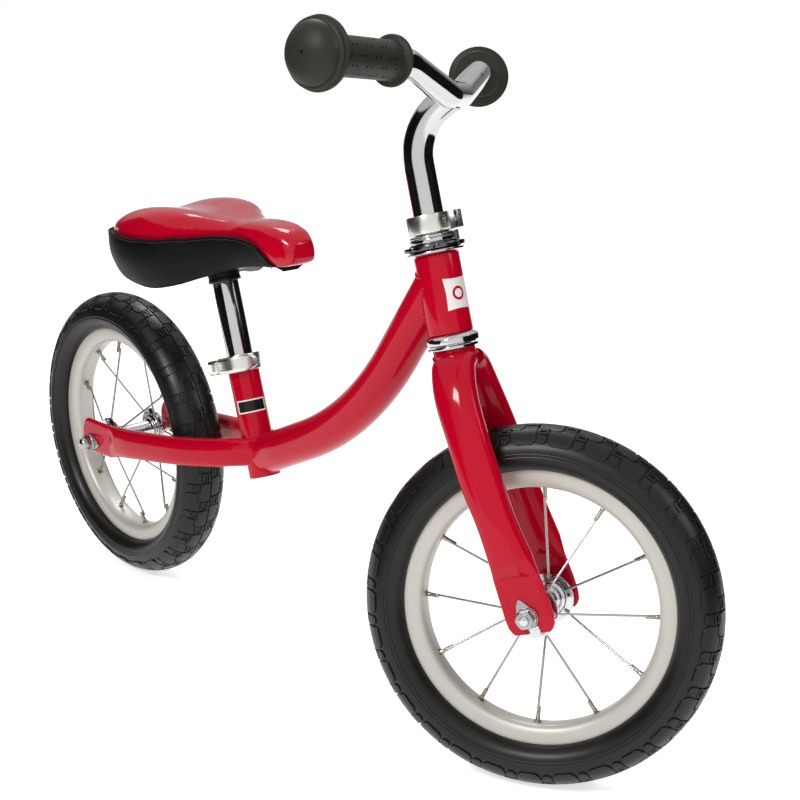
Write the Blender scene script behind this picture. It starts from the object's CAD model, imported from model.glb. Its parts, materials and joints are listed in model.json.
"""A child's balance bike: red tubes, chrome bar and post, spoked wheels and a padded saddle."""

import json
import logging
import math
from dataclasses import dataclass, field
from enum import Enum
from typing import Callable, Iterable, Sequence

import bmesh
import bpy
import numpy as np
from mathutils import Matrix, Vector

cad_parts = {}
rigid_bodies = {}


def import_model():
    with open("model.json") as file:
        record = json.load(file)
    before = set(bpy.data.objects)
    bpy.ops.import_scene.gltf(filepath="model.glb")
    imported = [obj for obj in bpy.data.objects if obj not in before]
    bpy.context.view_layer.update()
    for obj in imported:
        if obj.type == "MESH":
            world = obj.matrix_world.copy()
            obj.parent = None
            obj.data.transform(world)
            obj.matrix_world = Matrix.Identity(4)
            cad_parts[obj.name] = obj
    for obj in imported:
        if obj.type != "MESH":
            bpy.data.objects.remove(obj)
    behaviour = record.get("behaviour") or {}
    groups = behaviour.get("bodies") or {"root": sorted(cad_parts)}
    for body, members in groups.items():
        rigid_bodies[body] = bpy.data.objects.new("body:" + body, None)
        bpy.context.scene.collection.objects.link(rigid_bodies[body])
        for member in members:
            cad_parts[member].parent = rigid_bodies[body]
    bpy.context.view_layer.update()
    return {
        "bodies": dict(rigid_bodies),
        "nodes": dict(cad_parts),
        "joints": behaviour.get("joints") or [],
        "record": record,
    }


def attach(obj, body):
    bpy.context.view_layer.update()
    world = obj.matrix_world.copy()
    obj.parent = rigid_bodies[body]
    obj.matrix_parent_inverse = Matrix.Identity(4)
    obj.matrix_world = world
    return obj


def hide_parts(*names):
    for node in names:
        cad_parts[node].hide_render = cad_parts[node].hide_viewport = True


LOG = logging.getLogger("balance_bike")

Pair = tuple[float, float]
Profile = list[Pair]

# Sizes that more than one sub-assembly uses, in metres
TYRE_RADIUS = 0.1485
WHEELBASE = 0.607
FORK_OFFSET = 0.032
TREAD_FLAT = 0.0045
TILT = math.radians(16.75)
STEER_AT_REST = math.radians(33.0)
SEAT_LEAN = math.radians(17.65)
SEAT_FOOT_X = 0.247
HEAD_LOW, HEAD_HIGH = 0.2297, 0.2937
COLLAR_LOW, COLLAR_HIGH = 0.3115, 0.3263
CROWN_TOP = 0.2172
HEAD_RADIUS, SEAT_TUBE_RADIUS = 0.0185, 0.0148
STEERER_RADIUS, RISER_RADIUS = 0.0141, 0.0125
POST_TOP, POST_RADIUS = 0.2150, 0.0125
END_PLATE = 0.0044
SEAT_COLLAR_TOP = 0.1346
GAP = 0.0003
SHARP = math.radians(34.0)


class Side(Enum):
    """The rider's side that a piece belongs to; the value is the sign of Y."""

    RIGHT = -1
    LEFT = 1


class NutStyle(Enum):
    """How an axle nut ends."""

    OPEN_HEX = "open_hex"
    ACORN = "acorn"


# ---------------------------------------------------------------- finishes

@dataclass(frozen=True)
class Finish:
    """A surface: its colours, its gloss and the grain that breaks both up."""

    name: str
    slot: str
    light: tuple[float, float, float]
    dark: tuple[float, float, float]
    roughness: Pair = (0.3, 0.4)
    metallic: float = 0.0
    coat: float = 0.0
    mottle: float = 60.0
    grain: float = 900.0
    relief: float = 0.05
    cells: bool = False
    sheen: float = 0.0
    specular: float = 0.5

    def build(self) -> bpy.types.Material:
        """Makes the node material once and returns it from then on."""
        known = bpy.data.materials.get("finish_" + self.name)
        if known is not None:
            return known
        made = bpy.data.materials.new("finish_" + self.name)
        made.use_nodes = True
        made.diffuse_color = (*self.light, 1.0)
        nodes, links = made.node_tree.nodes, made.node_tree.links
        shader = nodes["Principled BSDF"]
        shader.inputs["Metallic"].default_value = self.metallic
        shader.inputs["Coat Weight"].default_value = self.coat
        shader.inputs["Coat Roughness"].default_value = 0.04
        shader.inputs["Sheen Weight"].default_value = self.sheen
        shader.inputs["Specular IOR Level"].default_value = self.specular
        place = nodes.new("ShaderNodeTexCoord")
        patches = nodes.new("ShaderNodeTexNoise")
        patches.inputs["Scale"].default_value = self.mottle
        patches.inputs["Detail"].default_value = 5.0
        links.new(place.outputs["Object"], patches.inputs["Vector"])
        blend = nodes.new("ShaderNodeMix")
        blend.data_type = "RGBA"
        blend.inputs[6].default_value = (*self.dark, 1.0)
        blend.inputs[7].default_value = (*self.light, 1.0)
        links.new(patches.outputs["Fac"], blend.inputs["Factor"])
        links.new(blend.outputs[2], shader.inputs["Base Color"])
        gloss = nodes.new("ShaderNodeMapRange")
        gloss.inputs["To Min"].default_value = self.roughness[0]
        gloss.inputs["To Max"].default_value = self.roughness[1]
        links.new(patches.outputs["Fac"], gloss.inputs["Value"])
        links.new(gloss.outputs["Result"], shader.inputs["Roughness"])
        if self.cells:
            grain = nodes.new("ShaderNodeTexVoronoi")
            grain.feature = "SMOOTH_F1"
            height = grain.outputs["Distance"]
        else:
            grain = nodes.new("ShaderNodeTexNoise")
            grain.inputs["Detail"].default_value = 3.0
            height = grain.outputs["Fac"]
        grain.inputs["Scale"].default_value = self.grain
        links.new(place.outputs["Object"], grain.inputs["Vector"])
        bump = nodes.new("ShaderNodeBump")
        bump.inputs["Strength"].default_value = self.relief
        bump.inputs["Distance"].default_value = 0.0004
        links.new(height, bump.inputs["Height"])
        links.new(bump.outputs["Normal"], shader.inputs["Normal"])
        return made


RED_PAINT = Finish("red_paint", "red_paint", (0.50, 0.0008, 0.019), (0.43, 0.0006, 0.015),
                   (0.13, 0.20), coat=0.30, mottle=14, grain=260, relief=0.02, specular=0.06)
CHROME = Finish("chrome", "chrome", (0.60, 0.61, 0.615), (0.54, 0.55, 0.555), (0.06, 0.11), 1.0,
                mottle=40, grain=300, relief=0.01)
DARK_CHROME = Finish("dark_chrome", "dark_chrome", (0.16, 0.16, 0.16), (0.10, 0.10, 0.10),
                     (0.12, 0.25), 1.0, mottle=90, relief=0.03)
POLISHED = Finish("polished_aluminium", "polished_aluminium", (0.76, 0.75, 0.71),
                  (0.66, 0.65, 0.61), (0.20, 0.32), 1.0, mottle=120, grain=1400, relief=0.05)
STEEL = Finish("steel", "steel", (0.46, 0.46, 0.45), (0.36, 0.36, 0.35), (0.20, 0.34), 1.0,
               mottle=150, grain=1500, relief=0.05)
NIPPLE_BRASS = Finish("plated_brass", "steel", (0.42, 0.38, 0.30), (0.28, 0.25, 0.19),
                      (0.20, 0.36), 1.0, mottle=200, relief=0.05)
RIM_SATIN = Finish("rim_satin", "rim_silver", (0.57, 0.545, 0.50), (0.51, 0.485, 0.445),
                   (0.38, 0.48), 0.35, mottle=30, grain=1800, relief=0.08, specular=0.35)
TYRE_RUBBER = Finish("tyre_rubber", "tyre_rubber", (0.0088, 0.0092, 0.0080),
                     (0.0042, 0.0044, 0.0039), (0.28, 0.42), mottle=45, grain=1100, relief=0.08,
                     specular=0.30)
GRIP_RUBBER = Finish("grip_rubber", "grip_rubber", (0.0270, 0.0270, 0.0195),
                     (0.0170, 0.0170, 0.0120), (0.42, 0.56), mottle=60, grain=1600, relief=0.10,
                     specular=0.22)
BLACK_PLASTIC = Finish("black_plastic", "black_plastic", (0.0085, 0.0085, 0.0085),
                       (0.0050, 0.0050, 0.0050), (0.30, 0.42), mottle=80, grain=900, relief=0.10,
                       specular=0.25)
BLACK_VINYL = Finish("black_vinyl", "black_plastic", (0.0042, 0.0042, 0.0042),
                     (0.0022, 0.0022, 0.0022), (0.40, 0.52), mottle=50, grain=700, relief=0.45,
                     cells=True, specular=0.11)
RED_VINYL = Finish("red_vinyl", "red_vinyl", (0.52, 0.0010, 0.019), (0.44, 0.0007, 0.015),
                   (0.14, 0.20), coat=0.45, mottle=25, grain=420, relief=0.03, cells=True,
                   specular=0.12)
THREAD = Finish("thread", "black_plastic", (0.060, 0.058, 0.054), (0.030, 0.030, 0.028),
                (0.6, 0.8), mottle=400, grain=3000, relief=0.4, specular=0.2)
LABEL_WHITE = Finish("label_white", "rim_silver", (0.80, 0.79, 0.77), (0.75, 0.74, 0.72),
                     (0.22, 0.3), mottle=50, relief=0.02)
LABEL_BLACK = Finish("label_black", "black_plastic", (0.010, 0.010, 0.010), (0.006, 0.006, 0.006),
                     (0.22, 0.3), mottle=50, relief=0.02, specular=0.25)
NEAR_BLACK = Finish("hollow_black", "black_plastic", (0.004, 0.004, 0.004),
                    (0.002, 0.002, 0.002), (0.8, 0.9), mottle=50, relief=0.02, specular=0.05)


# ---------------------------------------------------------------- axes

@dataclass(frozen=True)
class Axes:
    """The frames that the sub-assemblies are built in."""

    head: Matrix
    steer: Matrix
    front: Matrix
    rear: Matrix
    seat: Matrix
    saddle: Matrix

    @classmethod
    def at_rest(cls) -> "Axes":
        """Works the frames out from the wheelbase, the tilt and the steering angle."""
        across = math.sin(TILT) * math.sin(STEER_AT_REST)
        height = TYRE_RADIUS * math.sqrt(1 - across ** 2) + TREAD_FLAT * across
        drop = math.cos(STEER_AT_REST) * math.sin(TILT) * FORK_OFFSET
        foot = Vector((WHEELBASE - math.cos(TILT) * FORK_OFFSET, 0, height - drop))
        lean = math.atan2(math.sin(TILT) * math.cos(STEER_AT_REST), math.cos(TILT))
        head = Matrix.Translation(foot) @ Matrix.Rotation(-TILT, 4, "Y")
        steer = head @ Matrix.Rotation(STEER_AT_REST, 4, "Z")
        front = steer @ Matrix.Translation((FORK_OFFSET, 0, 0)) @ Matrix.Rotation(lean, 4, "Y")
        seat = Matrix.Translation((SEAT_FOOT_X, 0, TYRE_RADIUS))
        seat = seat @ Matrix.Rotation(-SEAT_LEAN, 4, "Y")
        saddle = Matrix.Translation(seat @ Vector((0, 0, POST_TOP)))
        return cls(head, steer, front, Matrix.Translation((0, 0, TYRE_RADIUS)), seat, saddle)


# ---------------------------------------------------------------- shaping tools

ALONG_Y = Matrix.Rotation(-math.pi / 2, 4, "X")


def softened(points: Sequence[Pair], cut: float, closed: bool = True) -> Profile:
    """Rounds the corners of an outline.

    Args:
        points: Corners of the outline.
        cut: How far from a corner its curve starts.
        closed: Whether the last corner joins the first.

    Returns:
        The outline with three points for each rounded corner.
    """
    made: Profile = []
    count = len(points)
    for i, (x, y) in enumerate(points):
        if not closed and i in (0, count - 1):
            made.append((x, y))
            continue
        ends = []
        for other in (points[i - 1], points[(i + 1) % count]):
            span = math.hypot(other[0] - x, other[1] - y)
            share = min(cut, span / 2.3) / max(span, 1e-9)
            ends.append((x + (other[0] - x) * share, y + (other[1] - y) * share))
        (ax, ay), (bx, by) = ends
        made += [(ax, ay), ((ax + bx) / 4 + x / 2, (ay + by) / 4 + y / 2), (bx, by)]
    return made


def smooth_rows(rows: Sequence[Sequence[float]], steps: int) -> list[list[float]]:
    """Fills in rows of numbers along a Catmull-Rom curve, steps to each gap."""
    table = np.array(rows, float)
    padded = np.vstack([2 * table[0] - table[1], table, 2 * table[-1] - table[-2]])
    made = []
    for i in range(1, len(padded) - 2):
        a, b, c, d = padded[i - 1:i + 3]
        for k in range(steps):
            t = k / steps
            made.append(0.5 * (2 * b + (c - a) * t + (2 * a - 5 * b + 4 * c - d) * t * t
                               + (3 * b - a - 3 * c + d) * t ** 3))
    made.append(table[-1])
    return [list(row) for row in made]


def bent_path(corners: Sequence[Vector], radii: Sequence[float], steps: int = 14) -> list[Vector]:
    """Points along straight runs joined by arcs.

    Args:
        corners: Start, corners and end of the path.
        radii: Bend radius at each inner corner.
        steps: Points to each arc.

    Returns:
        The points in order.
    """
    path = [corners[0].copy()]
    for before, corner, after, radius in zip(corners, corners[1:], corners[2:], radii):
        back, ahead = (before - corner).normalized(), (after - corner).normalized()
        turn = math.pi - back.angle(ahead)
        centre = corner + (back + ahead).normalized() * (radius / math.cos(turn / 2))
        start = corner + back * (radius * math.tan(turn / 2)) - centre
        axis = back.cross(ahead).normalized()
        path += [centre + Matrix.Rotation(-turn * k / steps, 3, axis) @ start
                 for k in range(steps + 1)]
    path.append(corners[-1].copy())
    return path


def ring(bm: bmesh.types.BMesh, centre: Vector, side: Vector, depth: Vector, count: int,
         power: float = 2.0) -> list[bmesh.types.BMVert]:
    """Adds a rounded loop of points.

    Args:
        bm: Mesh that takes the loop.
        centre: Middle of the loop.
        side: Half axis of the loop, to its first point.
        depth: The other half axis.
        count: Points in the loop.
        power: 2 for an ellipse, more for a squarer loop.

    Returns:
        The points in order round the loop.
    """
    verts = bmesh.ops.create_circle(bm, segments=count, radius=1.0)["verts"]
    for vert in verts:
        x, y = vert.co.x, vert.co.y
        u = math.copysign(abs(x) ** (2 / power), x)
        v = math.copysign(abs(y) ** (2 / power), y)
        vert.co = centre + side * u + depth * v
    return verts


def loop_edges(verts: Iterable[bmesh.types.BMVert]) -> list[bmesh.types.BMEdge]:
    """The edges that join the points of one loop."""
    wanted = set(verts)
    return list({e for v in wanted for e in v.link_edges if e.other_vert(v) in wanted})


def bridged(bm: bmesh.types.BMesh, loops: Sequence[list[bmesh.types.BMVert]],
            closed: bool = False) -> None:
    """Joins loops one after another, and caps both ends or joins the last loop to the first."""
    edges = [loop_edges(loop) for loop in loops]
    for low, high in zip(edges, edges[1:]):
        bmesh.ops.bridge_loops(bm, edges=low + high)
    if closed:
        bmesh.ops.bridge_loops(bm, edges=edges[-1] + edges[0])
    else:
        for end in (edges[0], edges[-1]):
            bmesh.ops.contextual_create(bm, geom=end)


def outline_loop(bm: bmesh.types.BMesh, points: Sequence[Vector]) -> list[bmesh.types.BMVert]:
    """Adds a closed loop through the given points."""
    verts = [bm.verts.new(point) for point in points]
    for a, b in zip(verts, verts[1:] + verts[:1]):
        bm.edges.new((a, b))
    return verts


def lathe(profile: Sequence[Pair], steps: int, along_y: bool = False,
          closed: bool = True) -> bmesh.types.BMesh:
    """Turns an outline of (radius, height) right round the Z or Y axis."""
    bm = bmesh.new()
    verts = [bm.verts.new((r, 0, h)) for r, h in profile]
    pairs = list(zip(verts, verts[1:])) + ([(verts[-1], verts[0])] if closed else [])
    edges = [bm.edges.new(pair) for pair in pairs]
    bmesh.ops.spin(bm, geom=verts + edges, cent=(0, 0, 0), axis=(0, 0, 1),
                   angle=2 * math.pi, steps=steps, use_merge=True)
    bmesh.ops.remove_doubles(bm, verts=bm.verts, dist=1e-6)
    if along_y:
        bmesh.ops.transform(bm, matrix=ALONG_Y, verts=bm.verts)
    bmesh.ops.recalc_face_normals(bm, faces=bm.faces)
    return bm


def path_frames(path: Sequence[Vector], side: Vector) -> list[tuple[Vector, Vector, Vector]]:
    """(point, across, up) square to a path; side is a direction that it never runs along."""
    frames = []
    for i, point in enumerate(path):
        ahead = (path[min(i + 1, len(path) - 1)] - path[max(i - 1, 0)]).normalized()
        across = ahead.cross(side).normalized()
        frames.append((point, across, across.cross(ahead)))
    return frames


def pipe(path: Sequence[Vector], radius: float, wall: float = 0.0, count: int = 40,
         side: Vector = Vector((0, 1, 0))) -> bmesh.types.BMesh:
    """A round rod along a path, or an open pipe if it has a wall."""
    bm = bmesh.new()
    frames = path_frames(path, side)
    loops = [ring(bm, p, a * radius, u * radius, count) for p, a, u in frames]
    if wall:
        inner = radius - wall
        loops += [ring(bm, p, a * inner, u * inner, count) for p, a, u in reversed(frames)]
    bridged(bm, loops, closed=bool(wall))
    bmesh.ops.recalc_face_normals(bm, faces=bm.faces)
    return bm


def slab(outline: Sequence[Pair], low: float, high: float, edge: float) -> bmesh.types.BMesh:
    """An outline in XY made a plate from low to high, its edges eased by a bevel."""
    bm = bmesh.new()
    loop = outline_loop(bm, [Vector((x, y, low)) for x, y in outline])
    face = bmesh.ops.contextual_create(bm, geom=loop_edges(loop))["faces"]
    made = bmesh.ops.extrude_face_region(bm, geom=face)["geom"]
    risen = [g for g in made if isinstance(g, bmesh.types.BMVert)]
    bmesh.ops.translate(bm, vec=(0, 0, high - low), verts=risen)
    bmesh.ops.recalc_face_normals(bm, faces=bm.faces)
    if edge:
        rims = [e for e in bm.edges if abs(e.verts[0].co.z - e.verts[1].co.z) < 1e-7]
        bmesh.ops.bevel(bm, geom=rims, offset=edge, segments=2, affect="EDGES", profile=0.5,
                        material=-1, offset_type="OFFSET")
    return bm


def block(low: Sequence[float], high: Sequence[float]) -> bmesh.types.BMesh:
    """A box between two corners."""
    bm = bmesh.new()
    bmesh.ops.create_cube(bm, size=1.0)
    size = [b - a for a, b in zip(low, high)]
    middle = [(a + b) / 2 for a, b in zip(low, high)]
    bmesh.ops.scale(bm, vec=size, verts=bm.verts)
    bmesh.ops.translate(bm, vec=middle, verts=bm.verts)
    return bm


def placed(bm: bmesh.types.BMesh, matrix: Matrix) -> bmesh.types.BMesh:
    """Moves a whole mesh by a matrix and returns it."""
    bmesh.ops.transform(bm, matrix=matrix, verts=bm.verts)
    return bm


def merged(parts: Iterable[bmesh.types.BMesh]) -> bmesh.types.BMesh:
    """Puts several meshes into one."""
    target = bmesh.new()
    for part in parts:
        mesh = bpy.data.meshes.new("part")
        part.to_mesh(mesh)
        part.free()
        target.from_mesh(mesh)
        bpy.data.meshes.remove(mesh)
    return target


def carved(bm: bmesh.types.BMesh, *cutters: bmesh.types.BMesh,
           operation: str = "DIFFERENCE") -> bmesh.types.BMesh:
    """Cuts meshes from a closed mesh, or unites them with it."""
    made = []
    for part in (bm, *cutters):
        bmesh.ops.recalc_face_normals(part, faces=part.faces)
        mesh = bpy.data.meshes.new("carving")
        part.to_mesh(mesh)
        part.free()
        obj = bpy.data.objects.new("carving", mesh)
        bpy.context.scene.collection.objects.link(obj)
        made.append(obj)
    for cutter in made[1:]:
        step = made[0].modifiers.new("cut", "BOOLEAN")
        step.operation = operation
        step.solver = "EXACT"
        step.object = cutter
    shown = made[0].evaluated_get(bpy.context.evaluated_depsgraph_get())
    mesh = bpy.data.meshes.new_from_object(shown)
    result = bmesh.new()
    result.from_mesh(mesh)
    for obj in made:
        bpy.data.objects.remove(obj)
    bpy.data.meshes.remove(mesh)
    return result


def piece(name: str, bm: bmesh.types.BMesh, finish: Finish, body: str,
          stands_for: Sequence[str] = (), sharp: float = SHARP) -> bpy.types.Object:
    """Makes a finished object from a mesh.

    Args:
        name: Name of the piece.
        bm: Its mesh, in place; it is freed.
        finish: Its surface.
        body: The body that it moves with.
        stands_for: CAD nodes that it is shown instead of.
        sharp: Edges that turn by more than this stay crisp.

    Returns:
        The object.
    """
    bm.normal_update()
    for face in bm.faces:
        face.smooth = True
    for edge in bm.edges:
        if len(edge.link_faces) == 2:
            edge.smooth = edge.calc_face_angle(0.0) < sharp
    mesh = bpy.data.meshes.new(name)
    bm.to_mesh(mesh)
    bm.free()
    mesh.materials.append(finish.build())
    obj = bpy.data.objects.new(name, mesh)
    bpy.context.scene.collection.objects.link(obj)
    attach(obj, body)
    if stands_for:
        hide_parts(*stands_for)
    LOG.info("%s: %d faces on %s", name, len(mesh.polygons), body)
    return obj


# ---------------------------------------------------------------- wheels

@dataclass
class Wheel:
    """A spoked wheel with its tyre, in the frame of its axle, which runs along Y."""

    prefix: str
    place: Matrix
    body: str
    phase: float
    valve_angle: float
    rim_radius: float = 0.1130
    rim_bed: float = 0.0975
    rim_half: float = 0.0125
    carcass_crown: float = 0.1470
    carcass_half: float = 0.0243
    widest_radius: float = 0.1262
    wall: float = 0.0028
    spokes: int = 12
    spoke_radius: float = 0.0010
    flange_y: float = 0.0255
    hole_circle: float = 0.0172
    tread_pitches: int = 29
    tread_plan: tuple[tuple[tuple[Pair, ...], bool], ...] = (
        (((0.015, 0.4), (0.620, 0.4), (0.640, 3.0), (0.640, 7.8), (0.560, 9.6), (0.330, 9.6),
          (0.270, 8.4), (0.045, 8.4), (0.015, 5.0)), False),
        (((0.665, 3.1), (0.975, 3.1), (0.975, 7.4), (0.665, 7.4)), True),
        (((0.645, 0.4), (0.990, 0.4), (0.990, 2.3), (0.660, 2.3)), False),
        (((0.030, 9.3), (0.290, 9.3), (0.290, 13.4), (0.030, 13.4)), True),
        (((0.345, 10.4), (0.590, 10.4), (0.680, 8.3), (0.990, 8.3), (0.990, 16.0), (0.970, 19.8),
          (0.880, 21.6), (0.460, 21.6), (0.360, 19.8), (0.320, 16.0)), False),
        (((0.025, 14.2), (0.285, 14.2), (0.290, 18.6), (0.220, 20.6), (0.080, 20.6),
          (0.015, 18.6)), False))
    steps: int = 144

    def section(self) -> np.ndarray:
        """Half of the carcass outline, from the crown to the bead, as (radius, y)."""
        rise = self.carcass_crown - self.widest_radius
        fall = self.widest_radius - self.rim_radius + 0.0004
        top = [(self.widest_radius + rise * math.cos(a), self.carcass_half * math.sin(a))
               for a in np.linspace(0, math.pi / 2, 16)]
        tuck = self.carcass_half - self.rim_half + 0.0012
        low = [(self.widest_radius - fall * math.sin(b),
                self.carcass_half - tuck * (1 - math.cos(b)))
               for b in np.linspace(0, math.pi / 2, 9)[1:]]
        return np.array(top + low)

    def over_carcass(self, across: float, height: float) -> Pair:
        """(radius, y) of a point so far from the crown along the carcass and so high above it."""
        rows = self.section()
        run = np.concatenate([[0], np.cumsum(np.hypot(*np.diff(rows, axis=0).T))])
        reach = abs(across)
        r, y = np.interp(reach, run, rows[:, 0]), np.interp(reach, run, rows[:, 1])
        r2 = np.interp(reach + 0.001, run, rows[:, 0])
        y2 = np.interp(reach + 0.001, run, rows[:, 1])
        slope = Vector((r2 - r, y2 - y)).normalized()
        sign = math.copysign(1.0, across)
        return r + slope.y * height, sign * (y - slope.x * height)

    def radial(self, angle: float) -> Matrix:
        """A frame whose Z axis points out along the wheel's radius."""
        return Matrix.Rotation(math.pi / 2 - angle, 4, "Y")

    def angles(self) -> list[float]:
        """The angles of the spokes."""
        return [self.phase + 2 * math.pi * k / self.spokes for k in range(self.spokes)]

    def add(self, name: str, bm: bmesh.types.BMesh, finish: Finish,
            stands_for: Sequence[str] = ()) -> bpy.types.Object:
        """Puts a mesh of the wheel's frame in place as a piece of the wheel."""
        return piece(f"{self.prefix}_{name}", placed(bm, self.place), finish, self.body,
                     [f"{self.prefix}_{n}" for n in stands_for])

    def tread_block(self, outline: Sequence[Pair], dimple: bool) -> bmesh.types.BMesh:
        """One raised block, flat: X runs round the tyre, Y across it and Z up from it.

        Args:
            outline: Corners of the block in metres.
            dimple: Whether its top has a small pit.

        Returns:
            The block, cut across often enough to be bent.
        """
        bm = bmesh.new()
        loop = outline_loop(bm, [Vector((x, y, -0.0010)) for x, y in outline])
        face = bmesh.ops.contextual_create(bm, geom=loop_edges(loop))["faces"]
        made = bmesh.ops.extrude_face_region(bm, geom=face)["geom"]
        risen = [g for g in made if isinstance(g, bmesh.types.BMVert)]
        bmesh.ops.translate(bm, vec=(0, 0, 0.0020), verts=risen)
        bmesh.ops.recalc_face_normals(bm, faces=bm.faces)
        top = [f for f in bm.faces if f.normal.z > 0.9]
        bmesh.ops.inset_region(bm, faces=top, thickness=0.0004, depth=0.0004)
        if dimple:
            bmesh.ops.inset_region(bm, faces=top, thickness=0.0014, depth=0.0)
            bmesh.ops.inset_region(bm, faces=top, thickness=0.0001, depth=-0.0010)
        span = [v.co.copy() for v in bm.verts]
        for axis, step in ((0, 0.0045), (1, 0.0030)):
            low, high = min(p[axis] for p in span), max(p[axis] for p in span)
            for k in range(1, math.ceil((high - low) / step)):
                at, normal = [0.0, 0.0, 0.0], [0.0, 0.0, 0.0]
                at[axis], normal[axis] = low + k * step, 1.0
                bmesh.ops.bisect_plane(bm, geom=bm.verts[:] + bm.edges[:] + bm.faces[:],
                                       plane_co=at, plane_no=normal)
        return bm

    def tread(self) -> None:
        """Broad blocks with narrow stepped grooves between, and small pads in the steps."""
        pitch = 2 * math.pi * self.carcass_crown / self.tread_pitches
        blocks = []
        for outline, dimple in self.tread_plan:
            for sign, shift in ((1, 0.0), (-1, 0.5)):
                flat = [((sign * x + shift) * pitch, sign * y * 0.00126) for x, y in outline]
                blocks.append(self.tread_block(flat, dimple))
        one = merged(blocks)
        for vert in one.verts:
            turn, across, height = vert.co.x / self.carcass_crown, vert.co.y, vert.co.z
            radius, y = self.over_carcass(across, height)
            vert.co = (radius * math.cos(turn), y, radius * math.sin(turn))
        rings = []
        for k in range(self.tread_pitches):
            turn = Matrix.Rotation(2 * math.pi * k / self.tread_pitches, 4, "Y")
            rings.append(placed(one.copy(), turn))
        one.free()
        tread = merged(rings)
        bmesh.ops.recalc_face_normals(tread, faces=tread.faces)
        self.add("tyre_tread", tread, TYRE_RUBBER)

    def tyre(self) -> None:
        """The carcass with its bead ribs, and the tread on it."""
        outer = [(float(r), float(y)) for r, y in self.section()]
        inner = [(r - self.wall * (r - self.rim_radius) / 0.030, y - self.wall * min(1, y / 0.012))
                 for r, y in outer]
        profile = ([(r, -y) for r, y in reversed(outer)][:-1] + outer
                   + list(reversed(inner))[:-1] + [(r, -y) for r, y in inner])
        shell = lathe(profile, self.steps, along_y=True)
        ribs = []
        for sign in (-1, 1):
            for reach, size in ((0.0345, 0.0006), (0.0372, 0.0007)):
                r, y = self.over_carcass(sign * reach, 0.0)
                loop = [(r + size * math.cos(a), y + size * math.sin(a))
                        for a in np.linspace(0, 2 * math.pi, 9)[:-1]]
                ribs.append(lathe(loop, self.steps, along_y=True))
        self.add("tyre_carcass", merged([shell, *ribs]), TYRE_RUBBER, ["tyre"])
        self.tread()

    def air_tube(self) -> None:
        """The air tube behind the tyre and its valve, which stands through the rim."""
        low = self.rim_bed + 0.0040
        profile = softened([(low, 0.0095), (0.1150, 0.0085), (0.1290, 0.0200), (0.1410, 0.0100),
                            (0.1410, -0.0100), (0.1290, -0.0200), (0.1150, -0.0085),
                            (low, -0.0095)], 0.004)
        tube = lathe(profile, 96, along_y=True)
        stem = [(0.0, 0.026), (0.0016, 0.026), (0.0026, 0.0250), (0.0026, 0.0190),
                (0.0031, 0.0180), (0.0031, 0.0)]
        valve = lathe([(r, self.rim_bed + 0.006 - h) for r, h in stem], 24, closed=False)
        bmesh.ops.holes_fill(valve, edges=[e for e in valve.edges if e.is_boundary])
        self.add("air_tube", merged([tube, placed(valve, self.radial(self.valve_angle))]),
                 BLACK_PLASTIC, ["inner_tube"])

    def rim(self) -> None:
        """A single-wall rim with rolled edges, a narrow satin side and a broad bed."""
        half, bed, top = self.rim_half, self.rim_bed, self.rim_radius
        outside = [(top, half - 0.0016), (top + 0.0002, half), (top - 0.0030, half),
                   (bed + 0.0062, half - 0.0006), (bed + 0.0022, half - 0.0024),
                   (bed + 0.0002, half - 0.0062), (bed, 0.0)]
        outside = softened(outside, 0.0016, closed=False)[:-1]
        inside = [(top - 0.0010, half - 0.0019), (bed + 0.0075, half - 0.0022),
                  (bed + 0.0022, half - 0.0056)]
        profile = (outside + [(r, -y) for r, y in reversed(outside)]
                   + [(r, -y) for r, y in inside] + list(reversed(inside)))
        self.add("rim_hoop", lathe(profile, 180, along_y=True), RIM_SATIN, ["rim"])
        eyelet = softened([(0.0022, 0.0), (0.0022, -0.0006), (0.0034, -0.0004), (0.0034, 0.0003)],
                          0.0002)
        eyes = [placed(lathe(eyelet, 20), self.radial(a) @ Matrix.Translation((0, 0, bed)))
                for a in self.angles()]
        self.add("rim_eyelets", merged(eyes), NIPPLE_BRASS)

    def spoke(self, index: int) -> bmesh.types.BMesh:
        """A straight spoke with its elbow and head at the flange."""
        sign = 1 if index % 2 else -1
        out = self.radial(self.angles()[index]).to_3x3() @ Vector((0, 0, 1))
        hole = out * self.hole_circle
        outside = hole + Vector((0, sign * (self.flange_y + 0.0024), 0))
        corner = hole + Vector((0, sign * (self.flange_y - 0.0023), 0))
        tip = out * (self.rim_bed - 0.0080)
        wire = pipe(bent_path([outside, corner, tip], [0.0016], 5), self.spoke_radius, 0.0, 12,
                    self.radial(self.angles()[index]).to_3x3() @ Vector((1, 0, 0)))
        head = bmesh.new()
        bmesh.ops.create_uvsphere(head, u_segments=14, v_segments=8, radius=0.0021)
        bmesh.ops.scale(head, vec=(1, 0.55, 1), verts=head.verts)
        bmesh.ops.translate(head, vec=outside - Vector((0, sign * 0.0006, 0)), verts=head.verts)
        return merged([wire, head])

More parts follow.
